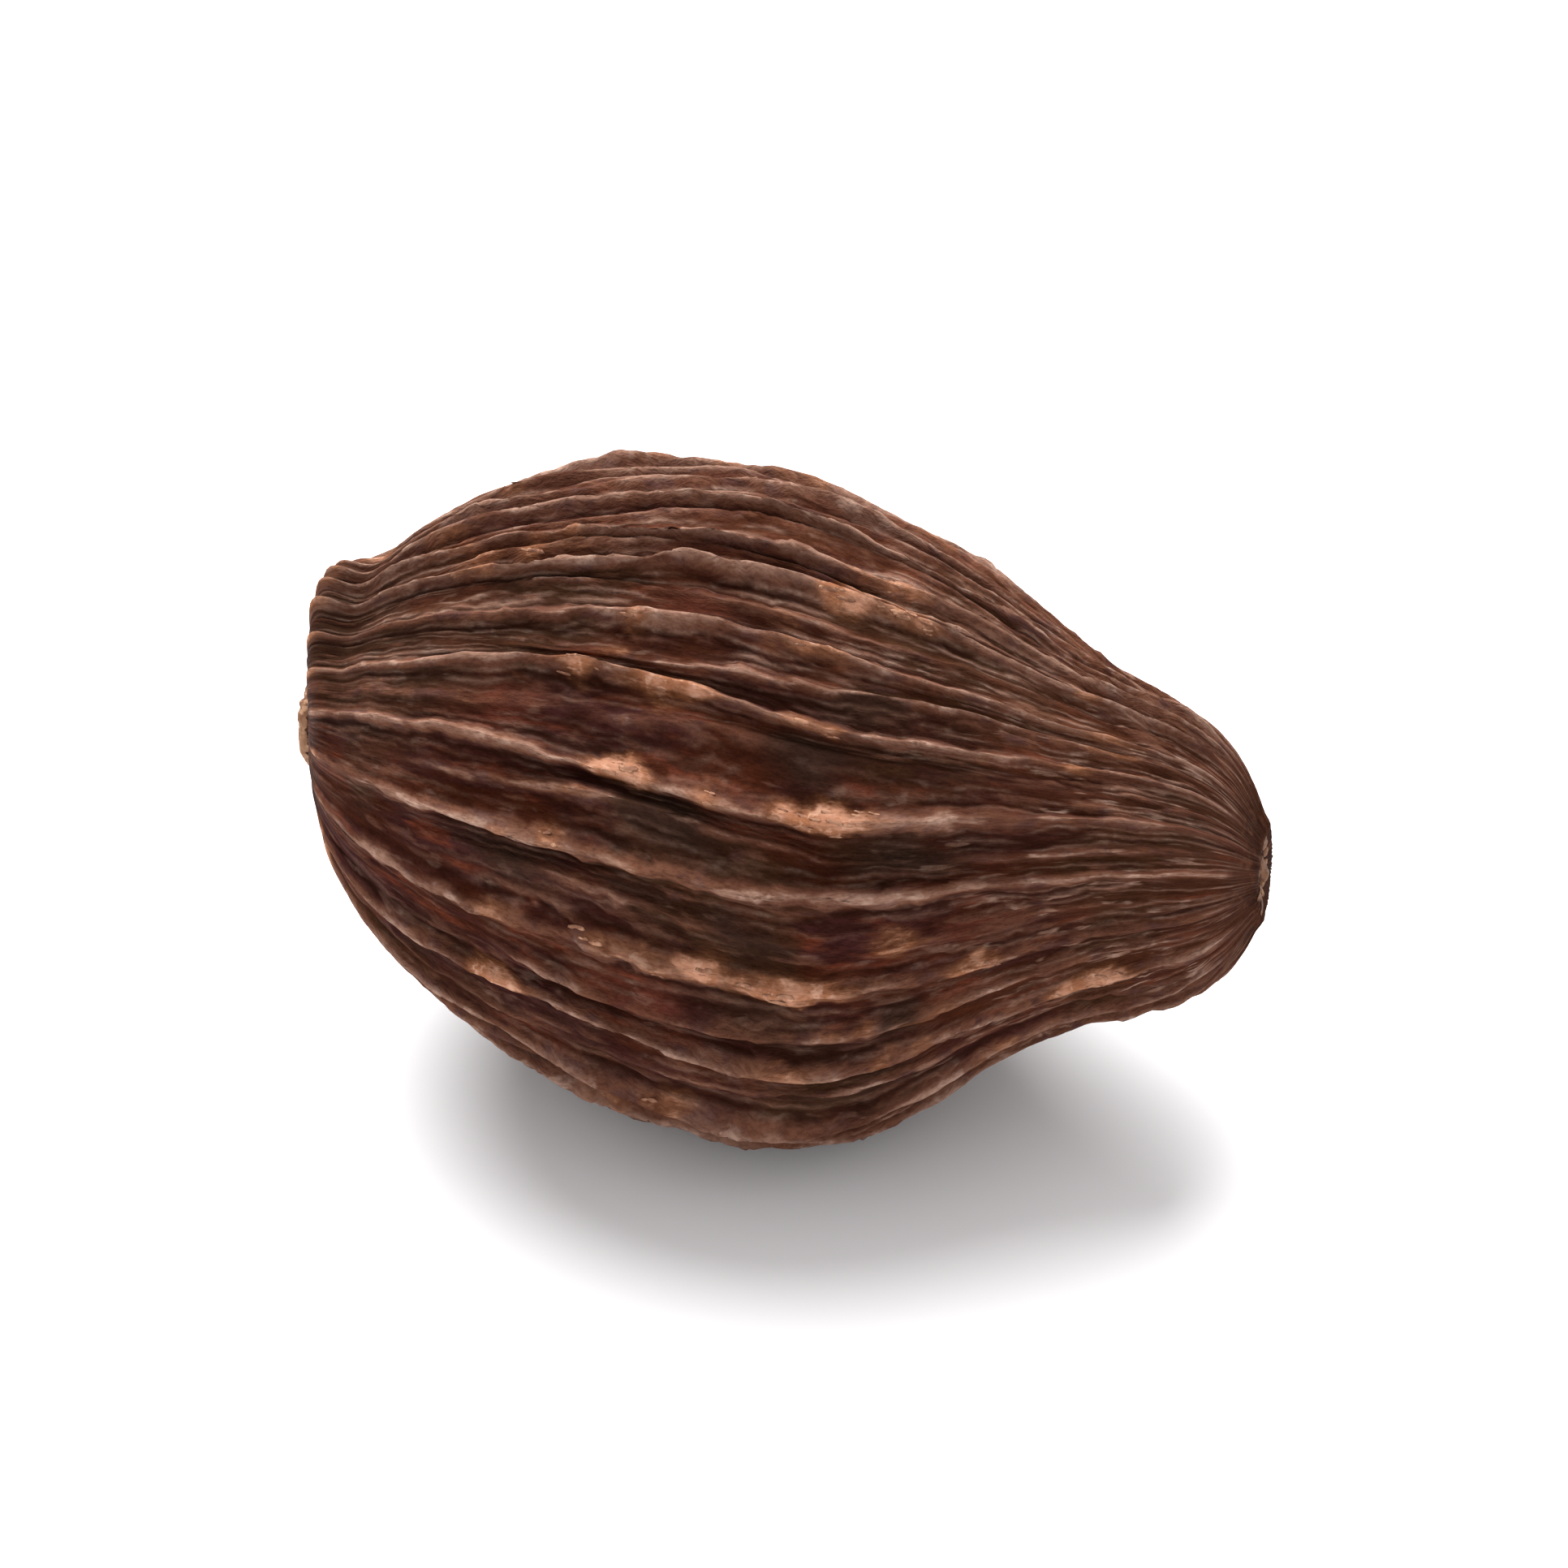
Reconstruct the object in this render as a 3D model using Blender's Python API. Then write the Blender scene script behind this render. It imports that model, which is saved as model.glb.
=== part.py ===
"""A dried black cardamom pod, whole, lying on its side.

The pod is one closed body. It starts as a UV sphere with its columns along the pod: every second column is
the crest of a rib, and the ones between are the furrows. Each vertex then moves to the pod's surface, which
is worked out from a few named sizes: a station along the pod gives the girth, and a place across the ribs
gives the angle and the height there.

Metres. +X points from the stalk end to the beak, +Z is up, and the pod rests on z = 0.
"""

import math

import bmesh
import bpy
from mathutils import Matrix, Vector

# The husk. A station runs from 0 at the stalk end to 1 at the beak's end.
LENGTH = 0.0365
RADIUS = 0.0126  # over the ribs, at the widest station
WIDEST_STATION = 0.46
STALK_END_BLUNTNESS = (2.0, 2.2)
SHOULDER_REACH = 0.58  # stations from the widest to where the shoulders would close
SHOULDER_TAPER = (2.0, 1.555)
BEAK_RADIUS = 0.006
BEAK_START = 0.72
BEAK_BLUNTNESS = (3.8, 14.0)
BEAK_BLEND = 0.0052
SLANT = 0.138  # the pod leans back as it rises
HEIGHT_TO_WIDTH = 0.985
BEAK_LIFT = 0.0011
BEAK_LIFT_STATIONS = (0.565, 0.75)

# Slow changes from roundness, as shares of the girth.
THREE_SIDES = 0.018
HOLLOWS = ((0.017, 2, 5, 2.1), (0.012, 3, -7, 0.7), (0.007, 5, 11, 1.1))
KNOB = 0.29  # a swelling beside the stalk
KNOB_REACH = 0.0005  # which also stands out along the pod
KNOB_ANGLE = math.radians(94.0)
KNOB_ROUNDNESS = 4
KNOB_STATION = 0.035
KNOB_WIDTH = 0.022

# The ribs: strong and faint ones in turn.
STRONG_RIBS = 28
RIBS = 2 * STRONG_RIBS
STRONG_RIB = 0.0009
FAINT_RIB = 0.00045
RIB_SHARPNESS = 1.6
RIB_NARROWNESS = 1.7
RIB_FADE = 0.9  # how the ribs sink as the girth shrinks
FIRST_RIB = math.radians(5.6)
SPREAD = math.radians(11.0)  # ribs stand further apart on two sides
SPREAD_ANGLE = math.radians(181.0)
LEAN = math.radians(14.0)  # ribs lean apart past the middle
LEAN_ANGLE = math.radians(118.0)
LEAN_STATIONS = (0.25, 0.80)
WRING = math.radians(14.0)  # and wind round together at the beak
WRING_STATIONS = (0.68, 1.0)
WANDER = math.radians(2.0)
SCATTER = math.radians(1.6)

# The scar where the stalk broke off, and the eye that the flower left in the beak's end.
SCAR_RADIUS = 0.0017
SCAR_RISE = 0.00035
SCAR_DISH = 0.0002
EYE_RADIUS = 0.0016
EYE_DEPTH = 0.0005

# How it lies.
NOSE_DOWN = math.radians(3.6)
PRESS_LEVEL = 0.0113  # what would hang lower than this under the axis is pressed flat
PRESS_SOFTNESS = 0.0015  # and what is this near to it is drawn up

# The mesh.
COLUMNS_PER_RIB = 2
BODY_RINGS = 38
SCAR_RINGS = (0.55, 0.90, 1.05, 1.30)  # shares of the scar's radius
EYE_RINGS = (1.40, 1.00, 0.70, 0.35)  # shares of the eye's radius

GOLDEN = 0.618034
SILVER = 0.7548777
BRONZE = 0.5698403


def fraction(value):
    return value - math.floor(value)


def smooth_step(low, high, value):
    t = min(max((value - low) / (high - low), 0.0), 1.0)
    return t * t * (3.0 - 2.0 * t)


def soft_max(a, b, blend):
    overlap = max(blend - abs(a - b), 0.0) / blend
    return max(a, b) + overlap**3 * blend / 6.0


def girth(station):
    """The pod's radius over its ribs at a station."""
    if station < WIDEST_STATION:
        power, root = STALK_END_BLUNTNESS
        inset = (WIDEST_STATION - station) / WIDEST_STATION
        return RADIUS * (1.0 - inset**power) ** (1.0 / root)
    power, taper = SHOULDER_TAPER
    run = min((station - WIDEST_STATION) / SHOULDER_REACH, 1.0)
    shoulder = RADIUS * (1.0 - run**power) ** taper
    along_beak = max((station - BEAK_START) / (1.0 - BEAK_START), 0.0)
    side_power, end_power = BEAK_BLUNTNESS
    beak = BEAK_RADIUS * math.sqrt(1.0 - along_beak**side_power)
    closing = math.sqrt(1.0 - along_beak**end_power)
    return soft_max(shoulder, beak, BEAK_BLEND) * closing


def station_of_girth(radius, narrow, wide):
    """The station between a narrow and a wide one where the girth is the given radius."""
    for _ in range(40):
        middle = (narrow + wide) / 2.0
        if girth(middle) < radius:
            narrow = middle
        else:
            wide = middle
    return (narrow + wide) / 2.0


def rib_angle(rib, station):
    """The angle round the pod of a rib's crest, from +Y over the top."""
    own = rib % RIBS
    even_angle = rib * math.tau / RIBS + FIRST_RIB
    angle = even_angle + SPREAD * math.sin(2.0 * (even_angle - SPREAD_ANGLE))
    lean = LEAN * math.sin(angle - LEAN_ANGLE) * smooth_step(*LEAN_STATIONS, station)
    wring = WRING * smooth_step(*WRING_STATIONS, station)
    wander = WANDER * math.sin(math.tau * (1.3 * station + fraction(own * GOLDEN)))
    scatter = SCATTER * (2.0 * fraction(own * SILVER + 0.3) - 1.0)
    return angle + lean - wring + (wander + scatter) * math.sin(math.pi * station)


def rib_height(rib, station):
    """How far a rib's crest stands over the furrows at the widest station."""
    own = rib % RIBS
    first = fraction(own * GOLDEN + 0.1)
    second = fraction(own * SILVER + 0.55)
    third = fraction(own * BRONZE + 0.2)
    if own % 2 == 0:
        height = STRONG_RIB * (0.75 + 0.5 * first)
    else:
        starts = smooth_step(0.02 + 0.25 * first, 0.12 + 0.3 * first, station)
        ends = smooth_step(0.70 + 0.2 * second, 0.85 + 0.15 * second, station)
        height = FAINT_RIB * (0.6 + 0.8 * second) * starts * (1.0 - ends)
    slow_wave = 0.15 * math.sin(math.tau * (2.3 * station + third))
    quick_wave = 0.09 * math.sin(math.tau * (5.1 * station + first))
    return height * (1.0 + slow_wave + quick_wave)


def crest_share(distance):
    """A rib's cross-section: 1 on its crest, 0 in the furrow. The distance is in rib steps."""
    return max(1.0 - RIB_NARROWNESS * distance, 0.0) ** RIB_SHARPNESS


def husk_point(station, place):
    """The point of the husk at a station and at a place across the ribs, counted in ribs."""
    rib = math.floor(place)
    past = place - rib
    angle = rib_angle(rib, station) * (1.0 - past) + rib_angle(rib + 1, station) * past
    bare_girth = girth(station)
    fade = min(bare_girth / RADIUS, 1.0) ** RIB_FADE
    relief = rib_height(rib, station) * crest_share(past)
    relief += rib_height(rib + 1, station) * crest_share(1.0 - past)

    away_from_ends = math.sin(math.pi * station)
    roundness = THREE_SIDES * math.cos(3.0 * (angle - math.pi / 2.0))
    for depth, round_waves, along_waves, phase in HOLLOWS:
        roundness += depth * math.sin(round_waves * angle + along_waves * station + phase)
    radius = (bare_girth - STRONG_RIB * fade) * (1.0 + roundness * away_from_ends)
    radius += relief * fade
    facing_knob = max(math.cos(angle - KNOB_ANGLE), 0.0) ** KNOB_ROUNDNESS
    on_knob = facing_knob * math.exp(-(((station - KNOB_STATION) / KNOB_WIDTH) ** 2))
    radius *= 1.0 + KNOB * on_knob

    y = radius * math.cos(angle)
    z = radius * math.sin(angle) * HEIGHT_TO_WIDTH
    z += BEAK_LIFT * smooth_step(*BEAK_LIFT_STATIONS, station)
    x = LENGTH * (station - 0.5) - SLANT * z - KNOB_REACH * on_knob
    return Vector((x + end_relief(station, bare_girth), y, z))


def end_relief(station, radius):
    """How far the stalk scar stands out at one end and the eye sinks in at the other."""
    if station > WIDEST_STATION:
        return -EYE_DEPTH * (1.0 - smooth_step(0.3 * EYE_RADIUS, 1.1 * EYE_RADIUS, radius))
    boss = SCAR_RISE * (1.0 - smooth_step(0.95 * SCAR_RADIUS, 1.2 * SCAR_RADIUS, radius))
    dish = SCAR_DISH * (1.0 - smooth_step(0.0, 0.9 * SCAR_RADIUS, radius))
    return dish - boss


def ring_stations():
    """Stations from pole to pole: close together at both ends, and on the edges of the scar and the eye."""
    scar = [station_of_girth(share * SCAR_RADIUS, 0.0, WIDEST_STATION) for share in SCAR_RINGS]
    eye = [station_of_girth(share * EYE_RADIUS, 1.0, BEAK_START) for share in EYE_RINGS]
    first, last = scar[-1], eye[0]
    body = []
    for ring in range(1, BODY_RINGS + 1):
        share = (1.0 - math.cos(math.pi * ring / (BODY_RINGS + 1))) / 2.0
        body.append(first + (last - first) * share)
    return [0.0] + scar + body + eye + [1.0]


def lay_down(points):
    """Turn the points to how the pod lies, press its underside flat, and put the origin under its middle."""
    turn = Matrix.Rotation(NOSE_DOWN, 3, "Y")
    turned = [turn @ point for point in points]
    middle_x = (min(point.x for point in turned) + max(point.x for point in turned)) / 2.0
    middle_y = (min(point.y for point in turned) + max(point.y for point in turned)) / 2.0
    floor = soft_max(-PRESS_LEVEL, -PRESS_LEVEL, PRESS_SOFTNESS)
    laid = []
    for point in turned:
        height = soft_max(point.z, -PRESS_LEVEL, PRESS_SOFTNESS) - floor
        laid.append(Vector((point.x - middle_x, point.y - middle_y, max(height, 0.0))))
    return laid


def build_pod(collection):
    stations = ring_stations()
    columns = RIBS * COLUMNS_PER_RIB
    steps = len(stations) - 1
    mesh = bmesh.new()
    bmesh.ops.create_uvsphere(mesh, u_segments=columns, v_segments=steps, radius=1.0)
    points = []
    for vertex in mesh.verts:
        ring = round(math.acos(max(-1.0, min(1.0, -vertex.co.z))) / math.pi * steps)
        column = round(math.atan2(vertex.co.y, vertex.co.x) / math.tau * columns) % columns
        points.append(husk_point(stations[ring], column / COLUMNS_PER_RIB))
    for vertex, point in zip(mesh.verts, lay_down(points)):
        vertex.co = point
    data = bpy.data.meshes.new("pod")
    mesh.to_mesh(data)
    mesh.free()
    data.shade_smooth()
    data.materials.append(husk_material())
    pod = bpy.data.objects.new("pod", data)
    collection.objects.link(pod)
    return pod


def husk_material():
    material = bpy.data.materials.new("dried husk")
    material.use_nodes = True
    shader = material.node_tree.nodes["Principled BSDF"]
    shader.inputs["Base Color"].default_value = (0.083, 0.034, 0.023, 1.0)
    shader.inputs["Roughness"].default_value = 0.62
    shader.inputs["Metallic"].default_value = 0.0
    return material


def main():
    for item in list(bpy.data.objects):
        bpy.data.objects.remove(item, do_unlink=True)
    collection = bpy.data.collections.new("black_cardamom")
    bpy.context.scene.collection.children.link(collection)
    build_pod(collection)


main()
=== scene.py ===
# %% [markdown]
# # A dried black cardamom pod
#
# The large kind of black cardamom is a fruit of the ginger family, dried whole until its skin turns dark
# brown and shrinks on to the ribs below it. One pod lies on its side here: a blunt stalk end, a body with
# strong and faint ribs in turn, and a short beak where the flower was.
#
# The solid model of the pod is already made, and it is loaded first as a fixed frame. This lesson dresses it:
# it grows a fine husk on the same rule as the solid's ribs, then adds the cork of the stalk scar, the dry
# remains of the flower, loose flakes of skin, and the finishes of them all.

# %% Load the frame
import math

import bmesh
import bpy
from mathutils import Matrix, Vector, noise


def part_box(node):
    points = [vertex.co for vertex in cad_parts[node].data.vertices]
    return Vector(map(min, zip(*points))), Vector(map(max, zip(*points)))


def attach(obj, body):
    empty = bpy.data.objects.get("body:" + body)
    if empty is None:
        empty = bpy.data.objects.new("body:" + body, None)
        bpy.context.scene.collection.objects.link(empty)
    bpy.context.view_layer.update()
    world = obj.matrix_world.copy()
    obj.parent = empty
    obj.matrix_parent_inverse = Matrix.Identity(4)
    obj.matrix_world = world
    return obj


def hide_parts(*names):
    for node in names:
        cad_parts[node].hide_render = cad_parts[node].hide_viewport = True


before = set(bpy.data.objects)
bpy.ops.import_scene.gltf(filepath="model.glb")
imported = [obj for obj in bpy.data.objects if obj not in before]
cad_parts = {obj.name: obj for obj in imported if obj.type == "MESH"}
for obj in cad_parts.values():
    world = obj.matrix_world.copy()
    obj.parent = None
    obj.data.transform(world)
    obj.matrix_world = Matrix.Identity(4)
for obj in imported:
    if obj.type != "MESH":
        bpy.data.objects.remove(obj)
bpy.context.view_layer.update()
pod_low, pod_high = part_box("pod")
print("The solid pod is", [round(1000 * (high - low), 2) for low, high in zip(pod_low, pod_high)], "mm")

# %% [markdown]
# ## Numbers that vary over a surface
#
# The husk follows a rule, so a Geometry Nodes tree can make it: each vertex of a flat grid is sent to its
# place by arithmetic. Written node by node, that arithmetic would be hundreds of lines, so it gets a small
# helper: a Field stands for one socket of a tree, and adding or multiplying two Fields adds a Math node.
# Shader trees have the same Math node, so the materials use the helper too.

# %% Fields
MM = 0.001
MATH_NODE = "ShaderNodeMath"


def feed(slot, value):
    """Link a Field or a socket to an input, or set the input to a plain value."""
    if isinstance(value, Field):
        value = value.socket
    if isinstance(value, bpy.types.NodeSocket):
        slot.node.id_data.links.new(value, slot)
    else:
        slot.default_value = value


def add_node(tree, kind, inputs=None, **settings):
    """Add a node, choose its settings, then feed its inputs, named or numbered."""
    node = tree.nodes.new(kind)
    for name, value in settings.items():
        setattr(node, name, value)
    for name, value in (inputs or {}).items():
        slot = node.inputs[name]
        if isinstance(name, str) and not slot.enabled:
            slot = next(each for each in node.inputs if each.name == name and each.enabled)
        feed(slot, value)
    return node


def made(tree, kind, inputs=None, **settings):
    """Add a node and give its first output."""
    return add_node(tree, kind, inputs, **settings).outputs[0]


class Field:
    """One number that varies over a surface."""

    def __init__(self, socket):
        self.socket = socket
        self.tree = socket.node.id_data

    def math(self, operation, *others):
        node = self.tree.nodes.new(MATH_NODE)
        node.operation = operation
        for slot, value in zip(node.inputs, (self, *others)):
            feed(slot, value)
        return Field(node.outputs[0])

    def __add__(self, other):
        return self.math("ADD", other)

    __radd__ = __add__

    def __sub__(self, other):
        return self.math("SUBTRACT", other)

    def __rsub__(self, other):
        return (self * -1.0) + other

    def __mul__(self, other):
        return self.math("MULTIPLY", other)

    __rmul__ = __mul__

    def __truediv__(self, other):
        return self.math("DIVIDE", other)

    def __pow__(self, other):
        return self.math("POWER", other)

    def sin(self):
        return self.math("SINE")

    def cos(self):
        return self.math("COSINE")

    def exp(self):
        return self.math("EXPONENT")

    def bell(self):
        """1 where the Field is 0, and less and less on both sides of that."""
        return (self * self * -1.0).exp()

    def floor(self):
        return self.math("FLOOR")

    def fraction(self):
        return self.math("FRACT")

    def wrapped(self, count):
        return self.math("FLOORED_MODULO", count)

    def at_least(self, other):
        return self.math("MAXIMUM", other)

    def at_most(self, other):
        return self.math("MINIMUM", other)

    def soft_max(self, other, blend):
        return self.math("SMOOTH_MAX", other, blend)

    def below(self, other):
        return self.math("LESS_THAN", other)

    def smooth(self, low, high):
        """0 at low, 1 at high, and smooth between them."""
        inputs = {"Value": self, "From Min": low, "From Max": high}
        node = add_node(self.tree, "ShaderNodeMapRange", inputs, interpolation_type="SMOOTHSTEP")
        return Field(node.outputs["Result"])


def chosen(condition, if_true, if_false):
    """One Field where the condition is 1, and another where it is 0."""
    return condition * if_true + (1.0 - condition) * if_false


# %% [markdown]
# ## The rule of the pod
#
# On the real fruit the ribs are the tops of bundles of fibre that run from the stalk to the beak. The husk
# shrinks between them. A station along the pod gives the girth, and each rib has its own angle, height and
# wandering, taken from its number by multiplying it by an irrational number and keeping the fraction. That
# gives even, repeatable variety with no random draw at all, and it is the rule that the solid follows, so
# the fine husk lies on the solid rib by rib.

# %% Sizes of the pod
# A station runs from 0 at the stalk end to 1 at the beak's end.
LENGTH = 36.5 * MM
RADIUS = 12.6 * MM
WIDEST = 0.46
STALK_END_BLUNTNESS = 2.2
SHOULDER_REACH = 0.58
SHOULDER_TAPER = 1.555
BEAK_RADIUS = 6.0 * MM
BEAK_START = 0.72
BEAK_SIDE_POWER = 3.8
BEAK_END_POWER = 14.0
BEAK_BLEND = 5.2 * MM
BEAK_LIFT = 1.1 * MM
BEAK_LIFT_STATIONS = (0.565, 0.75)
SLANT = 0.138  # the pod leans back as it rises
HEIGHT_TO_WIDTH = 0.985

# Slow changes from a round section, and the knob beside the stalk, as shares of the girth.
THREE_SIDES = 0.018
HOLLOWS = ((0.017, 2, 5, 2.1), (0.012, 3, -7, 0.7), (0.007, 5, 11, 1.1))
KNOB = 0.32
KNOB_REACH = 0.5 * MM
KNOB_ANGLE = math.radians(94.0)
KNOB_ROUNDNESS = 4.0
KNOB_STATION = 0.035
KNOB_WIDTH = 0.022

# The ribs: strong and faint ones in turn.
RIBS = 56
STRONG_RIB = 0.9 * MM
FAINT_RIB = 0.45 * MM
RIB_SHARPNESS = 1.6
RIB_NARROWNESS = 1.7
RIB_ROUNDING = 0.10
RIB_FADE = 0.9  # how the ribs sink as the girth shrinks
FIRST_RIB = math.radians(5.6)
SPREAD = math.radians(11.0)  # ribs stand further apart on two sides
SPREAD_ANGLE = math.radians(181.0)
LEAN = math.radians(14.0)  # they lean apart past the middle
LEAN_ANGLE = math.radians(118.0)
LEAN_STATIONS = (0.25, 0.80)
WRING = math.radians(14.0)  # and wind round together at the beak
WRING_STATIONS = (0.68, 1.0)
WANDER = math.radians(2.0)
SCATTER = math.radians(1.6)
GOLDEN, SILVER, BRONZE = 0.618034, 0.7548777, 0.5698403

# The two ends, and how the pod lies.
SCAR_RADIUS = 1.7 * MM
SCAR_RISE = 0.35 * MM
SCAR_DISH = 0.20 * MM
EYE_RADIUS = 1.6 * MM
EYE_DEPTH = 0.50 * MM
NOSE_DOWN = math.radians(3.6)
PRESS_LEVEL = 11.3 * MM  # what would hang lower under the axis is pressed flat
PRESS_SOFTNESS = 1.5 * MM
PRESS_FLOOR = PRESS_SOFTNESS / 6.0 - PRESS_LEVEL


# %% Girth, ribs and hollows as Fields
def girth_of(station):
    """The pod's radius over its ribs."""
    inset = (WIDEST - station).at_least(0.0) / WIDEST
    stalk_side = RADIUS * (1.0 - inset * inset) ** (1.0 / STALK_END_BLUNTNESS)
    run = ((station - WIDEST) / SHOULDER_REACH).at_least(0.0).at_most(1.0)
    shoulder = RADIUS * (1.0 - run * run) ** SHOULDER_TAPER
    along_beak = ((station - BEAK_START) / (1.0 - BEAK_START)).at_least(0.0).at_most(1.0)
    beak = BEAK_RADIUS * (1.0 - along_beak**BEAK_SIDE_POWER) ** 0.5
    closing = (1.0 - along_beak**BEAK_END_POWER) ** 0.5
    beak_side = shoulder.soft_max(beak, BEAK_BLEND) * closing
    return chosen(station.below(WIDEST), stalk_side, beak_side)


def rib_angle_of(rib, station, away_from_ends):
    """The angle of a rib's crest round the pod, from +Y over the top."""
    own = rib.wrapped(RIBS)
    even_angle = rib * (math.tau / RIBS) + FIRST_RIB
    angle = even_angle + SPREAD * ((even_angle - SPREAD_ANGLE) * 2.0).sin()
    lean = LEAN * (angle - LEAN_ANGLE).sin() * station.smooth(*LEAN_STATIONS)
    wring = WRING * station.smooth(*WRING_STATIONS)
    phase = (own * GOLDEN).fraction()
    wander = WANDER * ((1.3 * station + phase) * math.tau).sin()
    scatter = SCATTER * ((own * SILVER + 0.3).fraction() * 2.0 - 1.0)
    return angle + lean - wring + (wander + scatter) * away_from_ends


def rib_height_of(rib, station, strong, faint):
    """How far a rib's crest stands over the furrows. A faint rib starts and ends on the way."""
    own = rib.wrapped(RIBS)
    first = (own * GOLDEN + 0.1).fraction()
    second = (own * SILVER + 0.55).fraction()
    third = (own * BRONZE + 0.2).fraction()
    strong_height = strong * (0.75 + 0.5 * first)
    starts = station.smooth(0.02 + 0.25 * first, 0.12 + 0.3 * first)
    ends = station.smooth(0.70 + 0.2 * second, 0.85 + 0.15 * second)
    faint_height = faint * (0.6 + 0.8 * second) * starts * (1.0 - ends)
    height = chosen(own.wrapped(2.0).below(0.5), strong_height, faint_height)
    slow_wave = 0.15 * ((2.3 * station + third) * math.tau).sin()
    quick_wave = 0.09 * ((5.1 * station + first) * math.tau).sin()
    return height * (1.0 + slow_wave + quick_wave)


def crest_share_of(distance):
    """1 on a rib's crest and 0 in the furrow, with the crest a little rounded."""
    rounded = (distance * distance + RIB_ROUNDING**2) ** 0.5 - RIB_ROUNDING
    return (1.0 - RIB_NARROWNESS * rounded).at_least(0.0) ** RIB_SHARPNESS


def roundness_of(angle, station):
    """Slow changes from a round section: three sides and a few hollows."""
    total = THREE_SIDES * ((angle - math.pi / 2.0) * 3.0).cos()
    for depth, round_waves, along_waves, phase in HOLLOWS:
        total = total + depth * (angle * round_waves + station * along_waves + phase).sin()
    return total


def knob_of(angle, station, girth):
    """The swelling beside the stalk. It fades at the very end, where all angles meet in one point."""
    facing = (angle - KNOB_ANGLE).cos().at_least(0.0) ** KNOB_ROUNDNESS
    return ((station - KNOB_STATION) / KNOB_WIDTH).bell() * facing * girth.smooth(0.0, 1.0 * MM)


def end_relief_of(girth, station, eye_rim):
    """How far the stalk scar stands out at one end and the eye sinks in at the other."""
    boss = -SCAR_RISE * (1.0 - girth.smooth(0.95 * SCAR_RADIUS, 1.2 * SCAR_RADIUS))
    dish = SCAR_DISH * (1.0 - girth.smooth(0.0, 0.9 * SCAR_RADIUS))
    eye = -EYE_DEPTH * (1.0 - girth.smooth(0.3 * EYE_RADIUS, 1.1 * EYE_RADIUS))
    return chosen(station.below(WIDEST), boss + dish, eye + eye_rim)


def laid_down(x, z):
    """Turn the pod's nose down and press its underside flat, as it lies."""
    turned_x = x * math.cos(NOSE_DOWN) + z * math.sin(NOSE_DOWN)
    turned_z = z * math.cos(NOSE_DOWN) - x * math.sin(NOSE_DOWN)
    pressed_z = turned_z.soft_max(-PRESS_LEVEL, PRESS_SOFTNESS) - PRESS_FLOOR
    return turned_x, pressed_z.at_least(0.0)


# %% [markdown]
# ## Places that wear has marked
#
# Handling wears the dark skin off the tops of the ribs, and the tan fibre shows. Other stretches only have
# paler crests, partly polished skin and partly a painted highlight, and smoke from the drying fire has left
# some furrows nearly black and some red. A few of those places are listed one by one, and noise fills in the
# rest. Each is a soft spot: its rib, its station, how many stations it reaches, and its strength.

# %% Rubbed places, polished places that also carry painted highlight, sooty places and red places
RUBBED_PLACES = (
    (20, 0.34, 0.022, 0.8),
    (20, 0.44, 0.040, 1.4),
    (20.4, 0.43, 0.030, 0.8),
    (20, 0.56, 0.030, 0.6),
    (20, 0.82, 0.020, 0.6),
    (22, 0.39, 0.036, 1.1),
    (22, 0.48, 0.020, 0.6),
    (22, 0.59, 0.062, 1.0),
    (24, 0.41, 0.030, 0.4),
    (18, 0.57, 0.040, 0.7),
    (16, 0.58, 0.025, 0.7),
    (26, 0.26, 0.022, 0.7),
    (26, 0.42, 0.045, 0.5),
    (26, 0.56, 0.075, 0.85),
    (25, 0.66, 0.030, 1.3),
    (26, 0.74, 0.024, 0.8),
    (28, 0.26, 0.030, 0.7),
    (28, 0.84, 0.050, 1.2),
    (28, 0.55, 0.040, 0.6),
)
POLISH_AND_HIGHLIGHT_PLACES = (
    (20, 0.19, 0.130, 1.1),
    (20, 0.52, 0.050, 0.5),
    (22, 0.16, 0.120, 0.9),
    (22, 0.68, 0.060, 0.3),
    (24, 0.30, 0.100, 0.5),
    (24, 0.66, 0.080, 0.4),
    (26, 0.14, 0.060, 0.8),
    (26, 0.27, 0.030, 1.0),
    (26, 0.37, 0.050, 0.9),
    (26, 0.50, 0.080, 0.8),
    (18, 0.30, 0.120, 0.5),
    (16, 0.62, 0.100, 0.6),
    (14, 0.66, 0.120, 0.8),
    (12, 0.60, 0.150, 0.8),
    (28, 0.42, 0.100, 0.9),
    (28, 0.64, 0.060, 0.8),
    (28, 0.93, 0.050, 1.0),
    (27, 0.88, 0.060, 0.9),
    (29, 0.86, 0.060, 0.8),
    (30, 0.45, 0.160, 0.8),
)
SOOTY_PLACES = (
    (23.0, 0.43, 0.060, 1.0),
    (24.8, 0.28, 0.070, 0.8),
    (21.0, 0.57, 0.050, 0.8),
    (19.2, 0.39, 0.060, 0.5),
    (19.2, 0.62, 0.060, 0.8),
    (23.0, 0.68, 0.070, 0.8),
    (27.0, 0.66, 0.030, 0.8),
    (25.0, 0.52, 0.060, 0.6),
    (17.0, 0.24, 0.060, 0.5),
)
RED_PLACES = (
    (21.0, 0.24, 0.070, 1.0),
    (19.0, 0.20, 0.070, 0.6),
    (23.2, 0.12, 0.040, 0.8),
    (25.0, 0.74, 0.060, 0.7),
    (17.2, 0.44, 0.060, 0.8),
    (27.0, 0.40, 0.070, 0.9),
)


def spots_of(places, across, station, width=0.5):
    """The sum of soft spots: across the ribs they reach as far as width, and along them as each says."""
    total = 0.0
    for rib, centre, reach, strength in places:
        off_rib = (across - float(rib)) / width
        along = (station - centre) / reach
        total = total + ((off_rib * off_rib + along * along) * -1.0).exp() * strength
    return total


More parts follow.
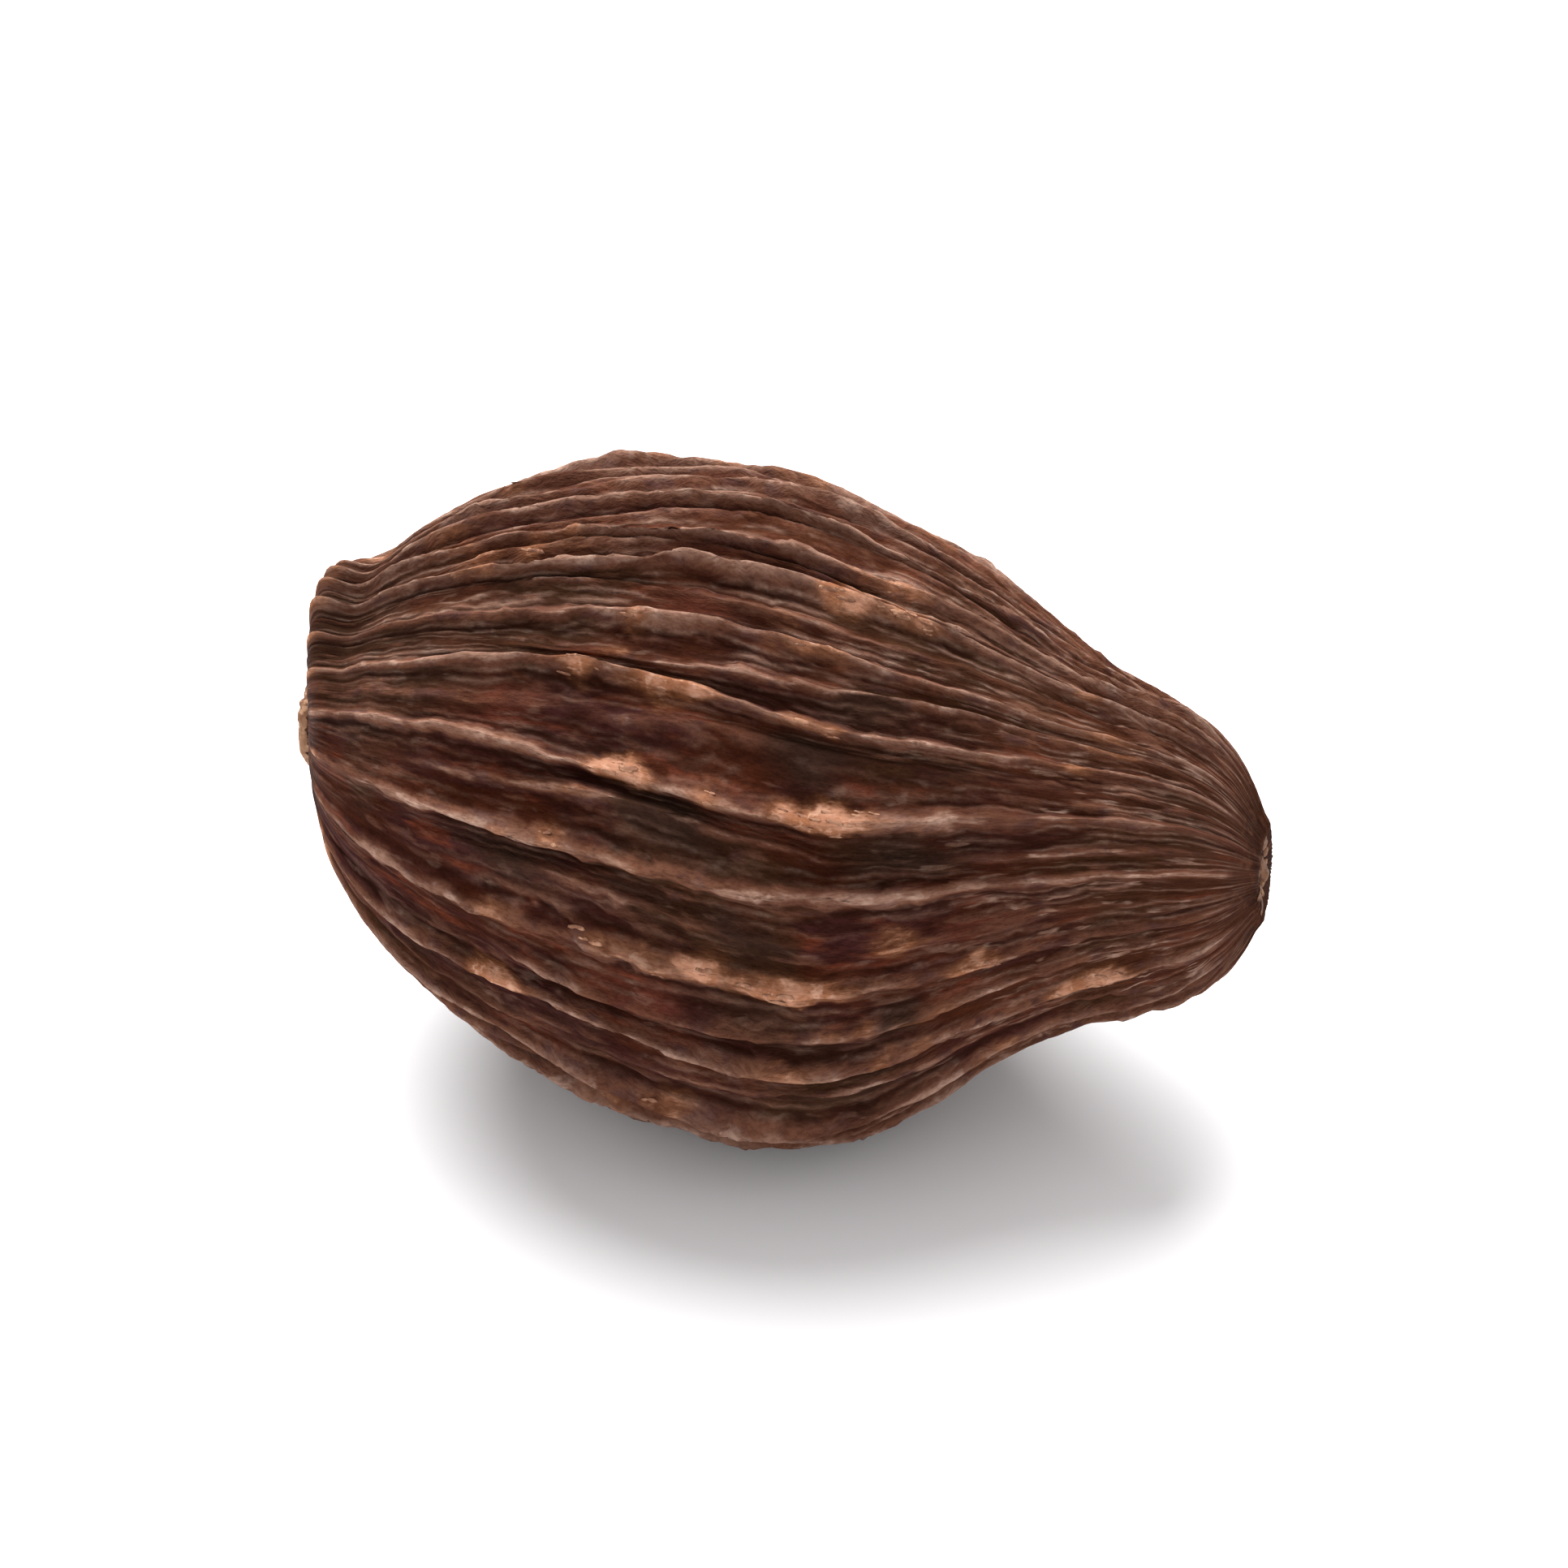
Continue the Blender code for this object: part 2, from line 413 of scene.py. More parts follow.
# %% [markdown]
# ## The husk
#
# A grid with one direction round the pod and the other along it is rolled up by the rule above. A subdivided
# copy of the solid would be simpler, but its crests would have no more detail than the solid's own columns.
# Here each rib gets ten columns, crowded towards its crest, so the crests are crisp cords with wide furrows
# between them, and there is room for the fibres and cross wrinkles that noise adds. Both edges of the grid
# meet and both ends shrink to a point, so welding them closes the husk. The tree also stores what the finish
# needs: how near a point is to a crest, how rubbed it is, and coordinates that run with the fibres.

# %% Helpers for Geometry Nodes
def new_tree(name, numbers):
    """A Geometry Nodes tree with named number inputs. It gives the tree and the inputs as Fields."""
    tree = bpy.data.node_groups.new(name, "GeometryNodeTree")
    tree.interface.new_socket("Geometry", in_out="OUTPUT", socket_type="NodeSocketGeometry")
    for label, value in numbers.items():
        kind = "NodeSocketInt" if isinstance(value, int) else "NodeSocketFloat"
        tree.interface.new_socket(label, in_out="INPUT", socket_type=kind).default_value = value
    inside = tree.nodes.new("NodeGroupInput")
    return tree, {label: Field(inside.outputs[label]) for label in numbers}


def store(tree, geometry, values, data_type="FLOAT"):
    """Write values on the geometry, each under its name."""
    for name, value in values.items():
        inputs = {"Geometry": geometry, "Name": name, "Value": value}
        geometry = made(tree, "GeometryNodeStoreNamedAttribute", inputs, data_type=data_type)
    return geometry


def stored(tree, name):
    """Read a stored number back as a Field."""
    return Field(made(tree, "GeometryNodeInputNamedAttribute", {"Name": name}, data_type="FLOAT"))


def noise_field(vector, scale, detail, roughness):
    inputs = {"Vector": vector, "Scale": scale, "Detail": detail, "Roughness": roughness}
    return Field(made(vector.node.id_data, "ShaderNodeTexNoise", inputs))


def vector_of(x, y, z):
    tree = next(each.tree for each in (x, y, z) if isinstance(each, Field))
    return made(tree, "ShaderNodeCombineXYZ", {"X": x, "Y": y, "Z": z})


def finish_tree(tree, geometry, material):
    """Every tree ends the same way: real meshes, then their material."""
    geometry = made(tree, "GeometryNodeSetShadeSmooth", {"Geometry": geometry})
    geometry = made(tree, "GeometryNodeRealizeInstances", {"Geometry": geometry})
    geometry = made(tree, "GeometryNodeSetMaterial", {"Geometry": geometry, "Material": material})
    feed(tree.nodes.new("NodeGroupOutput").inputs["Geometry"], geometry)


# %% The grid, and the relief of the ribs on both sides of a place
COLUMNS = RIBS * 10
RINGS = 176
CROWDING = 0.06
WELD = 0.0002 * MM
CORD_WIDTH = 0.165
GROOVE_PLACE = 0.36
GROOVE_WIDTH = 0.11


def husk_grid(tree):
    """A flat grid. Each of its vertices has a ring along the pod and an even place round it, in ribs."""
    grid = made(tree, "GeometryNodeMeshGrid", {"Vertices X": COLUMNS + 1, "Vertices Y": RINGS + 1})
    index = Field(made(tree, "GeometryNodeInputIndex"))
    column = (index / float(RINGS + 1) + 0.001 / RINGS).floor()
    ring = index - column * float(RINGS + 1)
    return grid, ring, column * (RIBS / COLUMNS)


def near_ribs(place, station, rubbed, ragged, size):
    """The two nearest ribs' relief and cords, how near a crest is, and the grooves beside it."""
    low_rib = place.floor()
    over = place - low_rib
    cord_width = CORD_WIDTH * (1.0 + 0.7 * rubbed)
    near_width = CORD_WIDTH * (1.5 + 1.0 * rubbed)
    relief = crest = nearness = groove = 0.0
    for rib, distance in ((low_rib, over), (low_rib + 1.0, 1.0 - over)):
        height = rib_height_of(rib, station, size["Strong rib"], size["Faint rib"])
        cord = (distance / cord_width).bell() * ragged
        broad = crest_share_of(distance) * (1.0 - size["Cord share"])
        near = (distance / near_width).bell() * (height * (1.3 / STRONG_RIB)).at_most(1.0)
        beside = ((distance - GROOVE_PLACE) / GROOVE_WIDTH).bell()
        beside = beside * (height * (1.1 / STRONG_RIB)).at_most(1.0)
        relief = relief + height * (broad + cord * size["Cord share"])
        crest = crest + cord * height
        nearness = nearness + near
        groove = groove + beside
    return relief, crest / STRONG_RIB, nearness, groove


# %% The husk's tree
FIBRE_FINENESS = 8.0
FIBRE_SHORTNESS = 5.0
PATCH_SHORTNESS = 3.0
LIT_SIDE_ANGLE = math.radians(78.0)  # the side that lies up gets painted light, round this angle
STALK_RING = 5.4 * MM
STALK_RING_WIDTH = 0.7 * MM
STALK_RING_WANDER = 1.6 * MM
EYE_RIM_WIDTH = 0.35 * MM
HUSK_AMOUNTS = {
    "Strong rib": STRONG_RIB,
    "Faint rib": FAINT_RIB,
    "Cord share": 0.62,
    "Wobble": 0.62,
    "Groove depth": 0.12 * MM,
    "Thread height": 0.16 * MM,
    "Fibre depth": 0.20 * MM,
    "Wrinkle depth": 0.26 * MM,
    "Lump depth": 0.45 * MM,
    "Eye rim": 0.30 * MM,
}


def husk_tree(material):
    tree, size = new_tree("husk", HUSK_AMOUNTS)
    grid, ring, even_place = husk_grid(tree)
    station = (1.0 - (ring * (math.pi / RINGS)).cos()) * 0.5
    away_from_ends = (station * math.pi).sin()
    on_stalk_side = station.below(WIDEST)
    on_beak = station.smooth(0.64, 0.82)
    place = even_place - CROWDING * (even_place * math.tau).sin()
    rib = (even_place + 0.001).floor()
    past = place - rib
    here = rib_angle_of(rib, station, away_from_ends)
    beyond = rib_angle_of(rib + 1.0, station, away_from_ends)
    angle = here * (1.0 - past) + beyond * past
    girth = girth_of(station) * ring.below(RINGS - 0.5)

    # Noise reads one of two coordinates: one draws it out along the fibres, the other keeps it even.
    turn = place * (math.tau / RIBS)
    fibres = vector_of(turn.cos() * FIBRE_FINENESS, turn.sin() * FIBRE_FINENESS, station * FIBRE_SHORTNESS)
    patches = vector_of(angle.cos(), angle.sin(), station * PATCH_SHORTNESS)
    bends = noise_field(patches, 8.0, 2.0, 0.6) - 0.5
    wobbled = place + size["Wobble"] * bends * girth.smooth(1.0 * MM, 7.0 * MM)

    # Where the pod is worn, and the side that lies up, which gets painted light. The ribs end in a ring of
    # pleats round the stalk, and inside it they fade.
    patchy = noise_field(patches, 3.3, 2.0, 0.6).smooth(0.52, 0.72)
    rubbed = (spots_of(RUBBED_PLACES, wobbled, station, 0.55) + 0.7 * patchy).at_most(1.0)
    polish_and_highlight = spots_of(POLISH_AND_HIGHLIGHT_PLACES, wobbled, station)
    faded = (angle - LIT_SIDE_ANGLE).cos().smooth(0.55, 1.0)
    from_ring = (girth + STALK_RING_WANDER * bends - STALK_RING) / STALK_RING_WIDTH
    stalk_ring = from_ring.bell() * on_stalk_side
    inside_ring = (1.0 - from_ring.smooth(-1.5, 0.0)) * on_stalk_side
    ragged = 0.60 + 0.55 * noise_field(fibres, 1.5, 2.0, 0.6).smooth(0.30, 0.66)
    ragged = ragged * (1.0 + 0.2 * stalk_ring) * (1.0 - 0.5 * inside_ring)
    relief, crest, nearness, groove = near_ribs(wobbled, station, rubbed, ragged, size)
    crest = crest * (1.0 - 0.8 * station.smooth(0.955, 0.985))
    # Crests are paler at polished places, partly as a painted highlight, and on the side that lies up as
    # painted light.
    crest = crest * (0.92 + 0.6 * polish_and_highlight + 0.28 * faded)
    groove = groove * noise_field(fibres, 0.9, 2.0, 0.6).smooth(0.35, 0.60)
    threads = noise_field(fibres, 3.3, 2.0, 0.5).smooth(0.50, 0.66)
    threads = threads * (1.0 - nearness * (1.0 - 0.5 * on_beak)).at_least(0.0) * (1.0 + 0.4 * on_beak)

    # The radius: a bare round form, the ribs, the fine surface between them, and the knob.
    fine = noise_field(fibres, 2.6, 3.0, 0.65) - 0.5
    cross = noise_field(patches, 9.0, 3.0, 0.6) - 0.5
    lumps = noise_field(patches, 2.1, 2.0, 0.5) - 0.5
    fade = (girth / RADIUS).at_most(1.0) ** RIB_FADE
    pressed = 1.0 - 0.3 * (1.0 - girth.smooth(4.0 * MM, 9.0 * MM)) * on_stalk_side
    surface = size["Fibre depth"] * fine + size["Wrinkle depth"] * cross + size["Lump depth"] * lumps
    surface = surface + size["Thread height"] * threads - size["Groove depth"] * groove
    radius = (girth - STRONG_RIB * fade) * (1.0 + roundness_of(angle, station) * away_from_ends)
    radius = radius + relief * fade * pressed + surface * girth.smooth(0.5 * MM, 6.0 * MM)
    on_knob = knob_of(angle, station, girth)
    radius = radius * (1.0 + KNOB * on_knob)

    # The position, first with the pod upright on its axis and then as it lies.
    y = radius * angle.cos()
    z = radius * angle.sin() * HEIGHT_TO_WIDTH + BEAK_LIFT * station.smooth(*BEAK_LIFT_STATIONS)
    on_rim = ((girth - 1.2 * EYE_RADIUS) / EYE_RIM_WIDTH).bell()
    eye_rim = size["Eye rim"] * (on_rim * (noise_field(patches, 60.0, 2.0, 0.6) - 0.2))
    x = LENGTH * (station - 0.5) - SLANT * z - KNOB_REACH * on_knob
    x, z = laid_down(x + end_relief_of(girth, station, eye_rim), z)

    # What the finish reads.
    # The knob is painted paler, as more rubbed fibre and stronger crests: partly wear on its bulge and partly
    # a painted highlight.
    rubbed = rubbed.at_least(0.6 * on_knob.smooth(0.25, 0.8))
    marks = {
        "crest": crest * (1.0 + 0.9 * on_knob),
        "nearness": nearness,
        "groove": groove,
        "threads": threads,
        "rubbed": rubbed.at_least(0.9 * stalk_ring * bends.smooth(-0.15, 0.10)),
        "station": station,
        "end": (1.0 - girth.smooth(1.2 * MM, 5.5 * MM)).at_least(0.7 * inside_ring),
        "sooty": spots_of(SOOTY_PLACES, wobbled, station, 0.8),
        "red": spots_of(RED_PLACES, wobbled, station, 0.8),
        "faded": faded,
    }
    wobbled_turn = wobbled * (math.tau / RIBS)
    across = vector_of(wobbled_turn.cos(), wobbled_turn.sin(), 0.0)
    geometry = store(tree, grid, marks)
    geometry = store(tree, geometry, {"fibres": fibres, "across": across}, "FLOAT_VECTOR")
    moving = {"Geometry": geometry, "Position": vector_of(x, y, z)}
    geometry = made(tree, "GeometryNodeSetPosition", moving)
    geometry = made(tree, "GeometryNodeMergeByDistance", {"Geometry": geometry, "Distance": WELD})
    finish_tree(tree, geometry, material)
    return tree


# %% [markdown]
# ## From a tree to a plain mesh
#
# A tree is run once, through a modifier on an empty object, and its result is kept as a plain mesh. The
# modifier goes before the piece is tied to the frame, so that nothing is worked out twice.

# %% Run a tree
def mesh_from_tree(name, tree):
    """Evaluate a tree and keep the result as an object with a plain mesh."""
    source = bpy.data.objects.new(name, bpy.data.meshes.new(name))
    bpy.context.scene.collection.objects.link(source)
    modifier = source.modifiers.new("grow", "NODES")
    modifier.node_group = tree
    evaluated = source.evaluated_get(bpy.context.evaluated_depsgraph_get())
    mesh = bpy.data.meshes.new_from_object(evaluated)
    source.modifiers.remove(modifier)
    source.data = mesh
    mesh.name = name
    return source


def face_outwards(mesh):
    """Point every face outwards, and count the edges that are left open."""
    shape = bmesh.new()
    shape.from_mesh(mesh)
    bmesh.ops.recalc_face_normals(shape, faces=shape.faces)
    open_edges = sum(1 for edge in shape.edges if not edge.is_manifold)
    volume = shape.calc_volume(signed=True)
    if volume < 0.0:
        bmesh.ops.reverse_faces(shape, faces=shape.faces)
    shape.to_mesh(mesh)
    shape.free()
    return open_edges, abs(volume)


# %% [markdown]
# ## Finishes
#
# Some effects turn up again and again, so each is a node group: the grain of the fibres, the slow change of
# tone from patch to patch, thin lines that run with the ribs, and the crests: the wear that uncovers the tan
# fibre on them, and their pale tan, which is partly a painted highlight. Each material places them with its
# own values and colours.

# %% Helpers for materials
def chip(r, g, b):
    """A colour as on a paint chart, 0 to 255, turned into the linear colour that shaders use."""
    parts = (c / 255.0 for c in (r, g, b))
    return tuple(c / 12.92 if c <= 0.04045 else ((c + 0.055) / 1.055) ** 2.4 for c in parts) + (1.0,)


def new_material(name):
    material = bpy.data.materials.new(name)
    material.use_nodes = True
    return material, material.node_tree, material.node_tree.nodes["Principled BSDF"]


def tinted(tree, amount, under, over, blend_type="MIX"):
    """One colour laid over another by an amount from 0 to 1."""
    inputs = {0: amount, 6: under, 7: over}
    return add_node(tree, "ShaderNodeMix", inputs, data_type="RGBA", blend_type=blend_type).outputs[2]


def attribute(tree, name):
    return add_node(tree, "ShaderNodeAttribute", attribute_name=name)


def painted(tree, name):
    """A number that the mesh carries, as a Field."""
    return Field(attribute(tree, name).outputs["Fac"])


def place_on_object(tree):
    return tree.nodes.new("ShaderNodeTexCoord").outputs["Object"]


def roughened(tree, shader, height, strength, distance):
    """Relief too fine for the mesh, as bump."""
    inputs = {"Height": height, "Strength": strength, "Distance": distance}
    feed(shader.inputs["Normal"], made(tree, "ShaderNodeBump", inputs))


SOCKETS = {float: "NodeSocketFloat", tuple: "NodeSocketColor", Vector: "NodeSocketVector"}


def new_group(name, inputs, outputs):
    """A shader node group. Its inputs come with their defaults, and a Vector is given as None."""
    group = bpy.data.node_groups.new(name, "ShaderNodeTree")
    for label, value in inputs.items():
        kind = SOCKETS[Vector if value is None else type(value)]
        socket = group.interface.new_socket(label, in_out="INPUT", socket_type=kind)
        if value is not None:
            socket.default_value = value
    for label, kind in outputs.items():
        group.interface.new_socket(label, in_out="OUTPUT", socket_type=kind)
    inside = group.nodes.new("NodeGroupInput")
    return group, inside.outputs, group.nodes.new("NodeGroupOutput").inputs


def placed_group(tree, group, inputs):
    node = tree.nodes.new("ShaderNodeGroup")
    node.node_tree = group
    for label, value in inputs.items():
        feed(node.inputs[label], value)
    return node.outputs


# %% Group: fibre grain
def fibre_grain_group():
    """Fine streaks along the fibres: a broad grain and a hairline grain."""
    outputs = {"Grain": "NodeSocketFloat", "Hairs": "NodeSocketFloat"}
    group, given, out = new_group("fibre_grain", {"Vector": None, "Scale": 6.0}, outputs)
    feed(out["Grain"], noise_field(given["Vector"], given["Scale"], 4.0, 0.6))
    feed(out["Hairs"], noise_field(given["Vector"], Field(given["Scale"]) * 3.1, 2.0, 0.7))
    return group


fibre_grain = fibre_grain_group()


# %% Group: patchy tone
def patchy_tone_group():
    """Three tones of one skin, which change over in patches."""
    plain = chip(60, 40, 30)
    inputs = {"Vector": None, "Scale": 200.0, "First": plain, "Second": plain, "Third": plain}
    group, given, out = new_group("patchy_tone", inputs, {"Color": "NodeSocketColor"})
    slow = noise_field(given["Vector"], given["Scale"], 3.0, 0.6)
    quick = noise_field(given["Vector"], Field(given["Scale"]) * 2.7, 3.0, 0.6)
    two = tinted(group, slow.smooth(0.42, 0.60), given["First"], given["Second"])
    feed(out["Color"], tinted(group, quick.smooth(0.50, 0.66), two, given["Third"]))
    return group


patchy_tone = patchy_tone_group()


# %% Group: rib lines
def rib_lines_group():
    """A thin line along every rib, or at a share of the way to the next one."""
    inputs = {"Across": None, "Offset": 0.0, "Width": 0.1}
    group, given, out = new_group("rib_lines", inputs, {"Line": "NodeSocketFloat"})
    parts = add_node(group, "ShaderNodeSeparateXYZ", {0: given["Across"]}).outputs
    across = Field(parts[1]).math("ARCTAN2", parts[0]) * (RIBS / math.tau)
    off_line = (across - given["Offset"] + 0.5).fraction() - 0.5
    feed(out["Line"], (off_line / given["Width"]).bell())
    return group


rib_lines = rib_lines_group()


# %% Group: crest wear
def crest_wear_and_highlight_group():
    """Masks for the flanks and the pale crests, which are partly pale skin and partly a painted highlight,
    and for the rubbed fibre and the edge round it.
    """
    inputs = {"Crest": 0.0, "Nearness": 0.0, "Rubbed": 0.0, "Grain": 0.5, "Breakup": 0.5, "Specks": 0.5}
    masks = {label: "NodeSocketFloat" for label in ("Flank", "Pale", "Halo", "Worn")}
    group, given, out = new_group("crest_wear_and_highlight", inputs, masks)
    crest, nearness, rubbed = (Field(given[name]) for name in ("Crest", "Nearness", "Rubbed"))
    grain, breakup, specks = (Field(given[name]) - 0.5 for name in ("Grain", "Breakup", "Specks"))
    feed(out["Flank"], (crest + 0.5 * grain + 0.6 * breakup).smooth(0.08, 0.62))
    feed(out["Pale"], (crest * (1.0 + 3.4 * breakup) + 0.5 * grain + 0.3 * specks).smooth(0.48, 0.92))
    feed(out["Halo"], (1.3 * nearness * rubbed + 0.7 * grain + 0.5 * breakup).smooth(0.18, 0.80))
    worn = 1.15 * nearness * rubbed + 1.3 * grain + 0.6 * breakup + 0.5 * specks
    feed(out["Worn"], worn.smooth(0.44, 1.02))
    return group


crest_wear_and_highlight = crest_wear_and_highlight_group()


# %% [markdown]
# ### The dried skin
#
# Dry husk is dull. Its furrows are almost black, with an olive or a red cast from patch to patch. Up the
# flanks of the ribs it turns brown, and the crests are a pale mauve tan, partly pale skin and partly a
# painted highlight. Where they are rubbed the bare fibre is orange tan, with a brown edge. The colours are
# laid over each other in that order, each through a ragged mask. The side that lies up also gets a lighter
# tint as painted light, and the grooves beside the crests get painted shade.

# %% The palette
FURROW_TONES = (chip(63, 28, 14), chip(61, 30, 29), chip(98, 48, 32))
FLANK_TONES = (chip(89, 56, 43), chip(104, 68, 52), chip(83, 55, 49))
PALE_TONES = (chip(146, 113, 97), chip(121, 88, 73), chip(166, 136, 120))
BARE_TONES = (chip(178, 129, 103), chip(148, 98, 70), chip(194, 149, 124))
END_TONES = (chip(68, 38, 25), chip(50, 28, 19), chip(92, 58, 42))
CORK_TONES = (chip(136, 100, 76), chip(102, 69, 50), chip(166, 130, 102))
BRACT_TONES = (chip(104, 70, 48), chip(70, 42, 29), chip(140, 102, 72))
FLAKE_TONES = (chip(148, 107, 84), chip(116, 78, 60), chip(168, 126, 100))
RED_SKIN = chip(102, 51, 38)
LIT_SIDE_SKIN = chip(100, 62, 42)
OLIVE_SKIN = chip(54, 40, 26)
BEAK_SKIN = chip(90, 54, 36)
DARK_STREAK = chip(37, 13, 5)
SOOT = chip(43, 30, 23)
GROOVE_SHADE = chip(35, 12, 4)
RUBBED_EDGE = chip(124, 78, 48)
HAIR_SHADE = chip(160, 126, 112)
CORK_PIT_SHADE = chip(70, 42, 28)


# %% Material: dried husk
def toned(tree, place, scale, tones):
    """Three tones of one skin, placed over the whole piece."""
    inputs = {"Vector": place, "Scale": scale, "First": tones[0], "Second": tones[1], "Third": tones[2]}
    return placed_group(tree, patchy_tone, inputs)["Color"]


def lined(tree, across, offset, width):
    """Thin lines that run with the ribs."""
    return Field(placed_group(tree, rib_lines, {"Across": across, "Offset": offset, "Width": width})["Line"])


def furrow_colour(tree, fibres, place, ragged, faded, on_beak):
    """The dark skin, with red and olive patches, painted light on the side that lies up, and streaks along
    the fibres.
    """
    olive = noise_field(place, 130.0, 2.0, 0.5).smooth(0.52, 0.62)
    streaks = noise_field(fibres, 4.5, 3.0, 0.65).smooth(0.36, 0.64)
    colour = toned(tree, fibres, 0.9, FURROW_TONES)
    colour = tinted(tree, 0.8 * (painted(tree, "red") + ragged).smooth(0.25, 0.75), colour, RED_SKIN)
    # Painted light: a lighter skin on the side that lies up.
    colour = tinted(tree, 0.30 * faded, colour, LIT_SIDE_SKIN)
    colour = tinted(tree, 0.6 * olive, colour, OLIVE_SKIN)
    colour = tinted(tree, 0.55 * (1.0 - streaks), colour, DARK_STREAK)
    return tinted(tree, 0.30 * on_beak, colour, BEAK_SKIN)


def dried_husk_material():
    material, tree, shader = new_material("dried_husk")
    place = place_on_object(tree)
    fibres = attribute(tree, "fibres").outputs["Vector"]
    across = attribute(tree, "across").outputs["Vector"]
    faded = painted(tree, "faded")
    on_beak = painted(tree, "station").smooth(0.64, 0.84)
    ragged = 0.6 * (noise_field(place, 500.0, 3.0, 0.6) - 0.5)
    streaks = placed_group(tree, fibre_grain, {"Vector": fibres, "Scale": 8.0})
    grain, hairs = Field(streaks["Grain"]), Field(streaks["Hairs"])
    wear_inputs = {
        "Crest": painted(tree, "crest"),
        "Nearness": painted(tree, "nearness"),
        "Rubbed": painted(tree, "rubbed"),
        "Grain": grain,
        "Breakup": noise_field(fibres, 2.1, 2.0, 0.6),
        "Specks": noise_field(place, 1400.0, 2.0, 0.6),
    }
    wear = {name: Field(mask) for name, mask in placed_group(tree, crest_wear_and_highlight, wear_inputs).items()}

    # The furrows and flanks, then soot and the shade of the grooves.
    flank = toned(tree, place, 300.0, FLANK_TONES)
    # The raised threads in the furrows are tinted toward the flank brown: partly their own colour and partly
    # a painted highlight on them.
    threads = (painted(tree, "threads") + 1.2 * (grain - 0.5)).smooth(0.25, 0.95)
    colour = furrow_colour(tree, fibres, place, ragged, faded, on_beak)
    colour = tinted(tree, (0.70 + 0.2 * on_beak) * threads, colour, flank)
    colour = tinted(tree, wear["Flank"], colour, flank)
    colour = tinted(tree, 0.8 * (painted(tree, "sooty") + ragged).smooth(0.20, 0.80), colour, SOOT)
    in_groove = 0.85 * painted(tree, "groove").smooth(0.12, 0.8) * (1.0 - 0.4 * on_beak)
    colour = tinted(tree, in_groove, colour, GROOVE_SHADE)

    # The pale tones: fine lines between the crests, the crests themselves, which are partly pale skin and
    # partly a painted highlight, and painted glints, mostly on the beak.
    pale = toned(tree, place, 420.0, PALE_TONES)
    crest_line = lined(tree, across, 0.0, 0.105)
    between = 0.9 * lined(tree, across, 0.5, 0.08)
    between = between + 0.7 * (lined(tree, across, 0.25, 0.05) + lined(tree, across, 0.75, 0.05))
    broken = noise_field(fibres, 2.4, 2.0, 0.6).smooth(0.40, 0.60)
    # The fine lines are stronger on the beak, and on the side that lies up as painted light.
    fine_lines = between * broken * (0.25 + 0.62 * faded + 0.34 * on_beak)
    # Painted glints: pale flecks that stand in for highlights on the wrinkled skin, mostly on the beak.
    painted_glints = noise_field(fibres, 4.2, 2.0, 0.6).smooth(0.60, 0.68) * (0.15 + 0.6 * on_beak)
    colour = tinted(tree, fine_lines.at_most(0.85), colour, pale)
    colour = tinted(tree, wear["Pale"] * (0.12 + 0.80 * crest_line), colour, pale)
    colour = tinted(tree, painted_glints, colour, pale)

    # The rubbed places, the mottled ends, and dark hairlines over everything.
    colour = tinted(tree, wear["Halo"] * 0.5, colour, RUBBED_EDGE)
    colour = tinted(tree, wear["Worn"] * 0.95, colour, toned(tree, place, 900.0, BARE_TONES))
    at_end = 0.75 * (painted(tree, "end") + 0.6 * (grain - 0.5)).smooth(0.15, 0.85)
    colour = tinted(tree, at_end, colour, toned(tree, place, 700.0, END_TONES))
    dark_hairs = tinted(tree, 1.0, colour, HAIR_SHADE, "MULTIPLY")
    between_hairs = 1.0 - hairs.smooth(0.34, 0.60)
    colour = tinted(tree, (0.42 - 0.22 * wear["Worn"]) * between_hairs, colour, dark_hairs)
    feed(shader.inputs["Base Color"], colour)
    feed(shader.inputs["Roughness"], 0.74 + 0.08 * wear["Worn"] + 0.20 * (grain - 0.4))
    shader.inputs["Specular IOR Level"].default_value = 0.03

    pores = noise_field(place, 2600.0, 3.0, 0.6)
    lumps = noise_field(place, 900.0, 3.0, 0.6)
    relief = 0.5 * hairs + 0.9 * grain + 0.4 * pores + 1.2 * lumps
    relief = relief + 1.0 * fine_lines + 0.5 * crest_line * broken
    roughened(tree, shader, relief, 0.7, 0.16 * MM)
    return material


dried_husk = dried_husk_material()

# %% Grow the husk
husk = mesh_from_tree("husk", husk_tree(dried_husk))
open_edges, husk_volume = face_outwards(husk.data)
husk_low = Vector([min(v.co[i] for v in husk.data.vertices) for i in range(3)])
husk_high = Vector([max(v.co[i] for v in husk.data.vertices) for i in range(3)])
shift = (Vector(pod_low) + Vector(pod_high) - husk_low - husk_high) / 2.0
shift.z = 0.0
husk.data.transform(Matrix.Translation(shift))
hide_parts("pod")
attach(husk, "root")
print("Husk:", len(husk.data.polygons), "faces,", open_edges, "open edges")
print("It holds", round(husk_volume * 1e6, 2), "cubic centimetres")

# %% [markdown]
# ## The scar of the stalk
#
# The pod broke off its stalk here, and what is left is a disc of pale cork: a raised ragged rim, a sunken
# middle, and a ring of pores where the stalk's vessels ran. A turned shape would be too clean, so the disc is
# a polar grid of rings, with noise in its heights and round its edge.

# %% From the upright pod to how it lies
# LIE takes a point of the upright pod to where it lies. LEANED first gives a piece the pod's own slant.
LIE = Matrix.Translation(shift) @ Matrix.Translation((0.0, 0.0, -PRESS_FLOOR))
LIE = LIE @ Matrix.Rotation(NOSE_DOWN, 4, "Y")
LEANED = Matrix.Identity(4)
LEANED[0][2] = -SLANT


